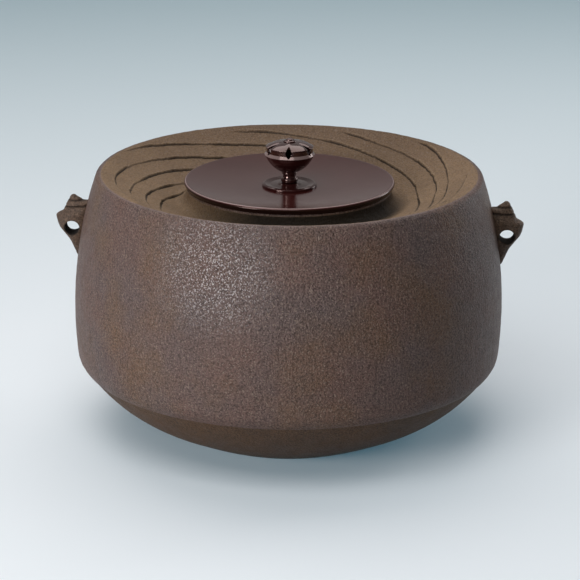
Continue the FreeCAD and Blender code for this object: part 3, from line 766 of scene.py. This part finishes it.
def hole_cutter():
    """The shape that pierces a lug, flared where it leaves the lug at the front and the back."""
    places = np.linspace(-12, 12, 49) * MM
    flare = HOLE_RADIUS + 0.5 * MM * np.clip((np.abs(places) - 6.2 * MM) / (2 * MM), 0, 3) ** 1.6
    turned = spun(np.stack((flare, places), axis=-1), LUG_SEGMENTS)
    turned = np.stack((turned[..., 0] + HOLE_DISTANCE, turned[..., 2], turned[..., 1] + HOLE_HEIGHT), axis=-1)
    ends = [(HOLE_DISTANCE, places[end], HOLE_HEIGHT) for end in (0, -1)]
    return capped("hole", turned, ends, flipped=True)


def make_lug(name, side):
    """One lug, swept up its rows, pierced, rounded by a fine remesh and roughened."""
    shares, inners, outers, depths = (np.array(column) for column in zip(*LUG_ROWS))
    steps = np.linspace(0, 1, LUG_RINGS)
    inner = np.interp(steps, shares, inners) * MM
    outer = np.interp(steps, shares, outers) * MM
    depth = np.interp(steps, shares, depths) * MM
    angles = np.arange(LUG_SEGMENTS) * TURN / LUG_SEGMENTS
    along = np.cos(angles)
    across = np.sin(angles)
    along = np.sign(along) * np.abs(along) ** LUG_SQUARE
    across = np.sign(across) * np.abs(across) ** LUG_SQUARE
    whorl = whorl_depth(steps[:, None], angles)
    middle = ((inner + outer) / 2)[:, None]
    half = ((outer - inner) / 2)[:, None]
    x = HOLE_DISTANCE + middle + half * along * (1 - whorl * WHORL_CUT)
    y = depth[:, None] * across * (1 - whorl * WHORL_CUT)
    height = LUG_FOOT + LUG_HEIGHT * steps
    tilt = LUG_TILT * np.clip((steps - 0.62) / 0.12, 0, 1) * tilt_end(steps)
    z = height[:, None] - tilt[:, None] * (x - HOLE_DISTANCE + TILT_SET)
    points = np.stack((x, y, z), axis=-1)
    lug = capped(name, points, [(HOLE_DISTANCE + middle[0, 0], 0, LUG_FOOT),
                                (HOLE_DISTANCE + middle[-1, 0], 0, LUG_TOP)])
    cut_by(lug, hole_cutter())
    fine = lug.modifiers.new("fine", "REMESH")
    fine.mode = "VOXEL"
    fine.voxel_size = LUG_VOXEL
    soft = lug.modifiers.new("soft", "SMOOTH")
    soft.factor = 0.5
    soft.iterations = 3
    applied(lug)
    mesh = lug.data
    flat = np.empty(len(mesh.vertices) * 3, np.float32)
    mesh.vertices.foreach_get("co", flat)
    points = flat.reshape(-1, 3).astype(float)
    normals = np.empty(len(mesh.vertices) * 3, np.float32)
    mesh.vertex_normals.foreach_get("vector", normals)
    rough = noise(points, 4.5 * MM, 51) * 0.16 + noise(points, 2.0 * MM, 52) * 0.09
    rough += noise(points, 1.1 * MM, 53) * 0.05
    points += normals.reshape(-1, 3) * (rough * MM)[:, None]
    distance = np.hypot(points[:, 0], points[:, 1])
    bed = wall_radius(points[:, 2]) - 0.5 * MM
    pull = np.maximum(bed / distance, 1)
    points[:, :2] *= pull[:, None]
    points[:, 2] = np.clip(points[:, 2], LUG_FOOT, LUG_TOP)
    # Painted shade inside the hole and along the whorl's groove; the same mask also roughens them.
    from_axis = np.hypot(points[:, 0] - HOLE_DISTANCE, points[:, 2] - HOLE_HEIGHT) - HOLE_RADIUS
    bore = np.clip(1 - (from_axis - 0.3 * MM) / (0.8 * MM), 0, 1)
    bore = bore * np.clip((6.9 * MM - np.abs(points[:, 1])) / MM, 0, 1)
    share = (points[:, 2] - LUG_FOOT) / LUG_HEIGHT
    share += LUG_TILT * tilt_end(share) * (points[:, 0] - HOLE_DISTANCE + TILT_SET) / LUG_HEIGHT
    middle_here = (np.interp(share, shares, inners) + np.interp(share, shares, outers)) / 2 * MM
    angle = np.arctan2(points[:, 1], points[:, 0] - HOLE_DISTANCE - middle_here)
    bore = np.maximum(bore, 0.75 * whorl_depth(share, angle))
    label_points(mesh, bore=bore)
    if side < 0:
        above = np.maximum(points[:, 2] - HOLE_HEIGHT - HOLE_RADIUS, 0)
        points[:, 2] -= above * LEFT_LUG_LOWER
    points[:, 0] *= side
    mesh.vertices.foreach_set("co", points.astype(np.float32).ravel())
    if side < 0:
        mesh.flip_normals()
    mesh.update()
    mesh.shade_smooth()
    return lug


# Materials


class Nodes:
    """A material's nodes, made and joined one call at a time."""

    def __init__(self, name):
        self.material = bpy.data.materials.new(name)
        self.material.use_nodes = True
        self.tree = self.material.node_tree
        self.tree.nodes.clear()
        output = self.tree.nodes.new("ShaderNodeOutputMaterial")
        self.shader = self.tree.nodes.new("ShaderNodeBsdfPrincipled")
        self.tree.links.new(self.shader.outputs[0], output.inputs[0])
        self.places = self.tree.nodes.new("ShaderNodeTexCoord").outputs["Object"]

    def put(self, socket, content):
        if isinstance(content, bpy.types.NodeSocket):
            self.tree.links.new(content, socket)
        elif isinstance(content, tuple) and len(content) == 3 and socket.type == "RGBA":
            socket.default_value = (*content, 1)
        else:
            socket.default_value = content

    def noise(self, size, detail=2.0, roughness=0.5, stretch=None):
        """Noise from 0 to 1 with lumps about as wide as size."""
        places = self.places
        if stretch:
            mapping = self.tree.nodes.new("ShaderNodeMapping")
            mapping.inputs["Scale"].default_value = stretch
            self.put(mapping.inputs["Vector"], places)
            places = mapping.outputs[0]
        made = self.tree.nodes.new("ShaderNodeTexNoise")
        self.put(made.inputs["Vector"], places)
        made.inputs["Scale"].default_value = 1 / size
        made.inputs["Detail"].default_value = detail
        made.inputs["Roughness"].default_value = roughness
        return made.outputs["Fac"]

    def ramp(self, factor, low, high, start=0.0, end=1.0):
        """The factor spread from low..high to start..end."""
        made = self.tree.nodes.new("ShaderNodeMapRange")
        for socket, content in zip(made.inputs, (factor, low, high, start, end)):
            self.put(socket, content)
        return made.outputs[0]

    def math(self, operation, first, second):
        made = self.tree.nodes.new("ShaderNodeMath")
        made.operation = operation
        self.put(made.inputs[0], first)
        self.put(made.inputs[1], second)
        return made.outputs[0]

    def times(self, first, second):
        return self.math("MULTIPLY", first, second)

    def plus(self, first, second):
        return self.math("ADD", first, second)

    def mix(self, factor, first, second):
        made = self.tree.nodes.new("ShaderNodeMix")
        made.data_type = "RGBA"
        self.put(made.inputs["Factor"], factor)
        self.put(made.inputs[6], first)
        self.put(made.inputs[7], second)
        return made.outputs[2]

    def near(self, spot, reach):
        """1 at a spot on the object, falling to 0 at its reach."""
        made = self.tree.nodes.new("ShaderNodeVectorMath")
        made.operation = "DISTANCE"
        self.put(made.inputs[0], self.places)
        made.inputs[1].default_value = spot
        return self.ramp(made.outputs["Value"], 0, reach, 1, 0)

    def attribute(self, name):
        made = self.tree.nodes.new("ShaderNodeAttribute")
        made.attribute_name = name
        return made.outputs["Fac"]

    def stained(self, colour, label, amount, stain):
        """The colour, mixed with a stain where the mesh carries the label."""
        return self.mix(self.times(self.attribute(label), amount), colour, stain)

    def along(self, axis):
        """The place along an axis of the object."""
        made = self.tree.nodes.new("ShaderNodeSeparateXYZ")
        self.put(made.inputs[0], self.places)
        return made.outputs[axis]

    def bump(self, height, distance):
        made = self.tree.nodes.new("ShaderNodeBump")
        made.inputs["Strength"].default_value = 1.0
        made.inputs["Distance"].default_value = distance
        self.put(made.inputs["Height"], height)
        return made.outputs[0]

    def finish(self, **inputs):
        for label, content in inputs.items():
            self.put(self.shader.inputs[label.replace("_", " ")], content)
        return self.material


# A patch of coarser, glossier skin with painted glints, on the upper left front.
ROUGH_GLINT_PATCH = (-38 * MM, -122 * MM, 136 * MM)
ROUGH_GLINT_REACH = 75 * MM
GLINT = (0.50, 0.465, 0.47)
DISH_BROWN = (0.265, 0.173, 0.100)
DISH_DARK = (0.145, 0.090, 0.054)
EDGE_WEAR_AND_HIGHLIGHT = (0.30, 0.215, 0.13)
CREST_HIGHLIGHT = (0.27, 0.20, 0.185)
CREASE_SHADE = (0.014, 0.009, 0.006)
NECK_SHADOW = (0.007, 0.005, 0.003)
BORE_SHADE = (0.008, 0.006, 0.005)
RIM_SHADE = (0.003, 0.001, 0.001)
BRONZE_HIGHLIGHT = (0.30, 0.22, 0.21)
BRONZE_SHEEN = (1.0, 0.72, 0.67)


def iron(name, main, cool, warm, speck, grain, rough, gloss=0.5, wall=False, bore=False):
    """Cast iron under burnt lacquer: mottled colour, a sandy skin, drag marks down the wall."""
    n = Nodes(name)
    colour = n.mix(n.ramp(n.noise(34 * MM, 3), 0.35, 0.65), main, cool)
    colour = n.mix(n.ramp(n.noise(52 * MM, 4, 0.6), 0.5, 0.72, 0, 0.75), colour, warm)
    if wall:
        # Painted shade: the dish ground is painted darker towards the back.
        ground = n.mix(n.ramp(n.along("Y"), 0, 110 * MM), DISH_BROWN, DISH_DARK)
        ground = n.mix(n.ramp(n.noise(18 * MM, 4, 0.65), 0.4, 0.7, 0, 0.4), ground, DISH_DARK)
        colour = n.mix(n.attribute("dish"), colour, ground)
        # The ground just past each ripple's step is painted lighter, partly wear on the raised edge and
        # partly a painted highlight.
        colour = n.stained(colour, "edge", 0.35, EDGE_WEAR_AND_HIGHLIGHT)
    fine = n.noise(1.1 * MM, 2, 0.6)
    grains = n.ramp(fine, 0.36, 0.57, 0.75, 0)
    if wall:
        on_wall = n.math("SUBTRACT", 1.0, n.attribute("dish"))
        grains = n.times(grains, n.ramp(on_wall, 0, 1, 0.6, 1))
    colour = n.mix(grains, colour, n.mix(0.75, colour, (0, 0, 0)))
    colour = n.mix(n.ramp(n.noise(0.9 * MM, 2), 0.56, 0.68, 0, 0.7), colour, speck)
    if wall:
        # Painted shade darkens the ripple creases.
        colour = n.mix(n.ramp(n.attribute("crease"), 0.1, 0.75, 0, 0.9), colour, CREASE_SHADE)
        # Painted shadow under the lid, on the neck.
        colour = n.stained(colour, "neck", 0.95, NECK_SHADOW)
        # Painted highlight along the crest.
        colour = n.stained(colour, "crest", 0.6, CREST_HIGHLIGHT)
    if bore:
        # Painted shade in the lug's hole and grooves.
        colour = n.stained(colour, "bore", 0.95, BORE_SHADE)
    streaks = n.noise(1.1 * MM, 2, 0.6, (1, 1, 0.08))
    lumps = n.noise(1.3 * MM, 2, 0.6)
    roughness = n.ramp(n.noise(7 * MM, 3), 0.3, 0.7, rough - 0.06, rough + 0.06)
    if wall:
        patch = n.near(ROUGH_GLINT_PATCH, ROUGH_GLINT_REACH)
        # Painted highlight: bright glints painted into the colour over the patch.
        glint = n.ramp(n.noise(0.95 * MM, 3, 0.6), 0.53, 0.64)
        glint = n.times(glint, n.ramp(patch, 0.42, 0.85, 0, 0.95))
        colour = n.mix(n.times(glint, on_wall), colour, GLINT)
        roughness = n.math("SUBTRACT", roughness, n.times(patch, 0.2))
        roughness = n.plus(roughness, n.times(n.attribute("dish"), 0.22))
        coarse = n.ramp(n.noise(40 * MM, 2), 0.4, 0.62, 0.45, 0.8)
        coarse = n.plus(coarse, n.times(patch, 0.9))
        lumps = n.times(lumps, n.plus(coarse, n.times(n.attribute("dish"), 0.4)))
    if bore:
        roughness = n.plus(roughness, n.times(n.attribute("bore"), 0.4))
    height = n.plus(n.plus(lumps, n.times(fine, 0.3)), n.times(streaks, 0.25))
    return n.finish(Base_Color=colour, Roughness=roughness, Normal=n.bump(height, grain),
                    Specular_IOR_Level=gloss)


def bronze(name, main, second, rough, dust, shine=1.5, rubbed=False):
    """Dark maroon patina: faint clouding, a satin polish with fine marks."""
    n = Nodes(name)
    colour = n.mix(n.ramp(n.noise(22 * MM, 4, 0.6), 0.35, 0.7), main, second)
    colour = n.mix(n.ramp(n.noise(0.9 * MM, 2), 0.6, 0.8, 0, 0.3), colour, dust)
    roughness = n.ramp(n.noise(9 * MM, 3, 0.6), 0.3, 0.7, rough - 0.02, rough + 0.03)
    if rubbed:
        # Painted shade on the lid's edge face.
        colour = n.stained(colour, "rim", 0.9, RIM_SHADE)
        # Painted highlight where the mesh carries it: the lid's edge and the knob's band.
        colour = n.mix(n.attribute("rubbed"), colour, BRONZE_HIGHLIGHT)
    height = n.plus(n.noise(7 * MM, 1), n.times(n.noise(0.7 * MM, 1), 0.04))
    return n.finish(Base_Color=colour, Roughness=roughness, Normal=n.bump(height, 0.02 * MM), IOR=shine,
                    Specular_IOR_Level=0.55, Specular_Tint=BRONZE_SHEEN)


def dress(node, material):
    """Give a CAD node a material in each of its slots."""
    item = bpy.data.objects[node] if node in bpy.data.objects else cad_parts[node]
    slots = item.material_slots
    if not slots:
        item.data.materials.append(material)
    for slot in slots:
        slot.material = material


WALL_IRON = iron("wall_skin", (0.132, 0.080, 0.068), (0.116, 0.083, 0.079), (0.145, 0.083, 0.047),
                 (0.23, 0.175, 0.145), 1.0 * MM, 0.5, gloss=0.22, wall=True)
BOTTOM_IRON = iron("bottom_skin", (0.098, 0.054, 0.030), (0.082, 0.050, 0.034), (0.115, 0.062, 0.034),
                   (0.14, 0.09, 0.055), 0.6 * MM, 0.6, gloss=0.2)
LUG_IRON = iron("lug_skin", (0.105, 0.064, 0.043), (0.086, 0.056, 0.042), (0.13, 0.080, 0.047),
                (0.18, 0.12, 0.08), 0.6 * MM, 0.55, gloss=0.25, bore=True)
PLATE_IRON = iron("plate_skin", (0.10, 0.085, 0.078), (0.085, 0.075, 0.072), (0.12, 0.08, 0.055),
                  (0.15, 0.11, 0.08), 0.12 * MM, 0.5)
LACQUER = iron("lacquer_skin", (0.035, 0.022, 0.018), (0.028, 0.02, 0.018), (0.045, 0.028, 0.02),
               (0.06, 0.04, 0.03), 0.1 * MM, 0.4)
LID_BRONZE = bronze("lid_patina", (0.036, 0.0060, 0.0052), (0.044, 0.0095, 0.0085), 0.17,
                    (0.06, 0.025, 0.022), rubbed=True)
SEAT_BRONZE = bronze("seat_patina", (0.020, 0.004, 0.0038), (0.026, 0.006, 0.0055), 0.14,
                     (0.04, 0.015, 0.013), shine=1.42)
KNOB_BRONZE = bronze("knob_patina", (0.013, 0.003, 0.003), (0.020, 0.005, 0.0045), 0.11, (0.03, 0.01, 0.009),
                     shine=1.75, rubbed=True)


def place(piece, body, slot, material, *nodes):
    """Stand a piece in for nodes, on its body, in its finish."""
    piece.data.materials.clear()
    piece.data.materials.append(material)
    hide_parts(*nodes)
    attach(piece, body)


place(make_wall(), "kettle", "wall_iron", WALL_IRON, "body_shell")
place(make_bottom(), "kettle", "bottom_iron", BOTTOM_IRON, "bottom_shell")
place(make_lug("ring_lug_right", 1), "kettle", "lug_iron", LUG_IRON, "lug_right")
place(make_lug("ring_lug_left", -1), "kettle", "lug_iron", LUG_IRON, "lug_left")
place(make_lid(), "lid", "lid_bronze", LID_BRONZE, "lid_plate")
place(make_seat(), "lid", "knob_bronze", SEAT_BRONZE, "knob_seat")
place(make_knob(), "knob", "knob_bronze", KNOB_BRONZE, "knob")
place(make_pin(), "knob", "knob_bronze", KNOB_BRONZE, "knob_pin")
dress("seam_lacquer", LACQUER)
dress("plate_lacquer", LACQUER)
dress("back_washer", LID_BRONZE)
for number in range(1, 5):
    dress(f"singing_plate_{number}", PLATE_IRON)

# Studio

FLOOR_REACH = 6.0
FLOOR_HEIGHT = -0.1 * MM  # just under the foot, so that the two share no plane
PAPER_NEAR = (0.81, 0.80, 0.805)
PAPER_FAR = (0.54, 0.605, 0.62)
PAPER_FLECK = (0.7, 0.74, 0.76)
PAPER_UNSEEN = (0.33, 0.33, 0.32)
PAPER_GLOW = (0.027, 0.084, 0.117)
LIGHT_DISTANCE = 1.5
LIGHT_TARGET = Vector((0, 0, 0.1))
AIR_FRONT = 0.10
AIR_BACK = 0.37
AIR_COLOUR = (1.0, 0.94, 0.92, 1)


def make_floor():
    """A pale floor, cooler and darker towards the back, as the photograph's paper falls off."""
    mesh = bpy.data.meshes.new("floor")
    sides = ((-1, -1), (1, -1), (1, 1), (-1, 1))
    corners = [(x * FLOOR_REACH, y * FLOOR_REACH, FLOOR_HEIGHT) for x, y in sides]
    mesh.from_pydata(corners, [], [(0, 1, 2, 3)])
    floor = linked("floor", mesh)
    n = Nodes("paper")
    back = n.ramp(n.along("Y"), 0.15, 1.35)
    grain = n.ramp(n.noise(30 * MM, 2), 0.3, 0.7, 0, 0.03)
    pale = n.mix(back, PAPER_NEAR, PAPER_FAR)
    pale = n.mix(grain, pale, PAPER_FLECK)
    path = n.tree.nodes.new("ShaderNodeLightPath")
    seen = n.math("MAXIMUM", path.outputs["Is Camera Ray"], path.outputs["Is Glossy Ray"])
    colour = n.mix(seen, PAPER_UNSEEN, pale)
    floor.data.materials.append(n.finish(Base_Color=colour, Roughness=0.9, Emission_Color=PAPER_GLOW,
                                         Emission_Strength=seen))
    n.shader.inputs["Specular IOR Level"].default_value = 0


def make_light(name, azimuth, elevation, width, height, radiance, colour):
    """A soft box that faces the kettle. Azimuth 0 is the front, and grows towards +X."""
    data = bpy.data.lights.new(name, "AREA")
    data.shape = "RECTANGLE"
    data.size = width
    data.size_y = height
    data.energy = math.pi * width * height * radiance
    data.color = colour
    light = linked(name, data)
    around, up = math.radians(azimuth), math.radians(elevation)
    away = Vector((math.sin(around) * math.cos(up), -math.cos(around) * math.cos(up), math.sin(up)))
    light.location = LIGHT_TARGET + away * LIGHT_DISTANCE
    light.rotation_euler = away.to_track_quat("Z", "Y").to_euler()


def make_world():
    """Dim pale air, brighter towards the back."""
    world = bpy.data.worlds.new("air")
    bpy.context.scene.world = world
    world.use_nodes = True
    tree = world.node_tree
    tree.nodes.clear()
    place_node = tree.nodes.new("ShaderNodeTexCoord")
    split = tree.nodes.new("ShaderNodeSeparateXYZ")
    tree.links.new(place_node.outputs["Generated"], split.inputs[0])
    ramp = tree.nodes.new("ShaderNodeMapRange")
    ramp.inputs["From Min"].default_value = -0.2
    ramp.inputs["From Max"].default_value = 0.9
    ramp.inputs["To Min"].default_value = AIR_FRONT
    ramp.inputs["To Max"].default_value = AIR_BACK
    tree.links.new(split.outputs["Y"], ramp.inputs["Value"])
    background = tree.nodes.new("ShaderNodeBackground")
    background.inputs["Color"].default_value = AIR_COLOUR
    tree.links.new(ramp.outputs[0], background.inputs["Strength"])
    output = tree.nodes.new("ShaderNodeOutputWorld")
    tree.links.new(background.outputs[0], output.inputs[0])


make_floor()
make_light("key", -40, 9, 0.55, 0.5, 18.0, (1.0, 0.985, 0.97))
make_light("overhead", -165, 64, 1.6, 1.15, 1.8, (1.0, 0.975, 0.96))
make_light("front_top", -18, 55, 1.3, 0.8, 3.0, (0.94, 0.98, 1.0))
make_light("fill_right", 128, 15, 0.5, 0.9, 3.0, (0.97, 0.985, 1.0))
make_world()
bpy.context.scene.view_settings.view_transform = "Standard"
